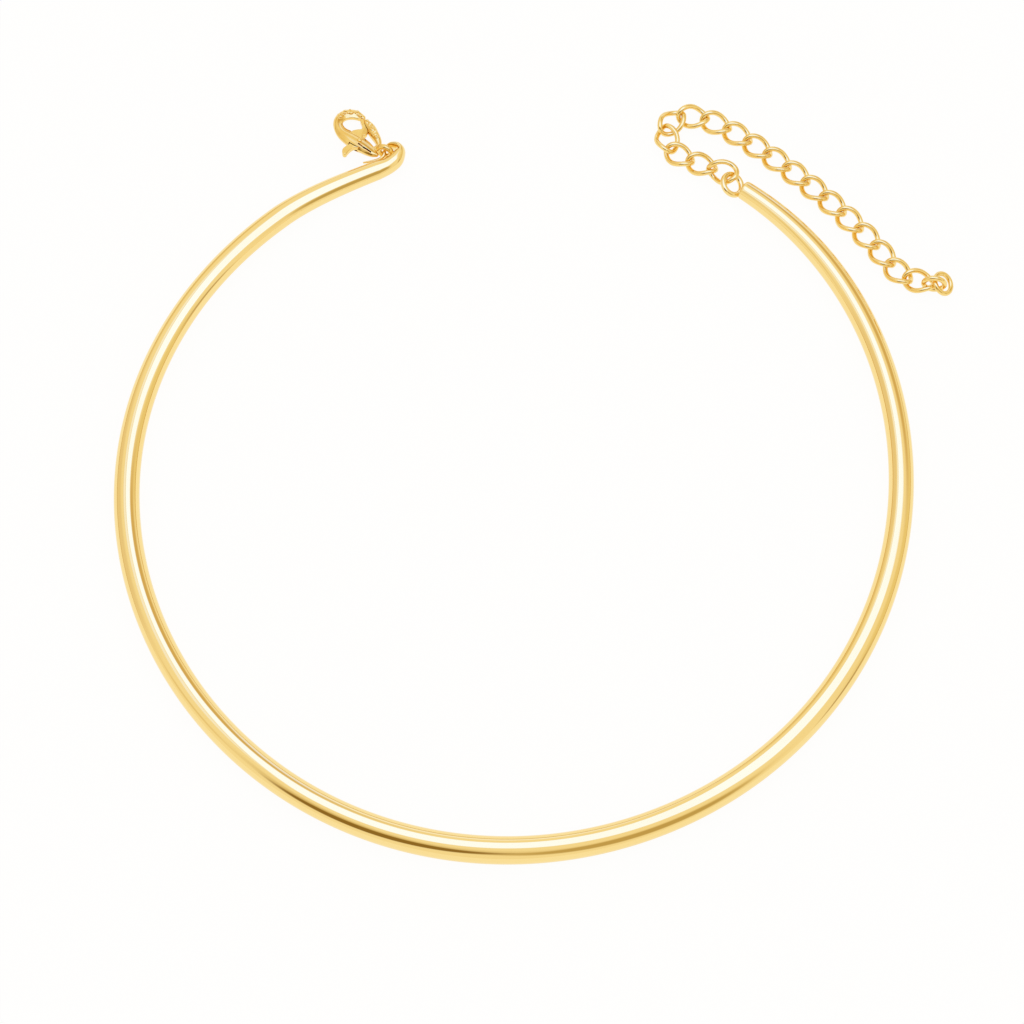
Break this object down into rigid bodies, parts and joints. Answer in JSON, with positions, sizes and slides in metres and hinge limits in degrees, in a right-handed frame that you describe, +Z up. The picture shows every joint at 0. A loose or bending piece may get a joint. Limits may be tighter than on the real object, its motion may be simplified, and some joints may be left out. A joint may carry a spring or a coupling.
{
  "type": "collar necklace",
  "caption": "Rigid collar necklace: an open hoop of polished round tube with a lobster clasp at one end and an extender chain of curb links at the other.",
  "frame": {"origin": "middle of the hoop, on the surface it lies on", "axes": "+Z up out of the surface it lies on; +Y from the middle of the hoop to its open back; +X towards the end with the chain"},
  "size_m": [0.1386, 0.143, 0.0046],
  "materials": {
    "tube_gold": "polished yellow gold plate",
    "cast_gold": "cast and polished yellow gold plate",
    "chain_gold": "polished yellow gold plate"
  },
  "bodies": {
    "necklace": {"collar": "tube_gold", "clasp_body": "cast_gold", "clasp_rivet": "cast_gold", "link_01": "chain_gold", "link_02": "chain_gold", "link_03": "chain_gold", "link_04": "chain_gold", "link_05": "chain_gold", "link_06": "chain_gold", "link_07": "chain_gold", "link_08": "chain_gold", "link_09": "chain_gold", "link_10": "chain_gold", "link_11": "chain_gold", "link_12": "chain_gold", "link_13": "chain_gold", "link_14": "chain_gold", "link_15": "chain_gold", "link_16": "chain_gold", "link_17": "chain_gold", "link_18": "chain_gold", "end_link": "chain_gold", "end_ring": "chain_gold"},
    "lever": {"clasp_lever": "cast_gold"}
  },
  "joints": [
    {"name": "clasp_lever_pivot", "type": "hinge", "parent": "necklace", "child": "lever", "pos_m": [-0.03597, 0.05919, 0.00199], "axis": [0.0426, 0.189, 0.9811], "range_deg": [0, 20], "stiffness_Nm_per_rad": 0.004, "springref_deg": -11.46}
  ]
}
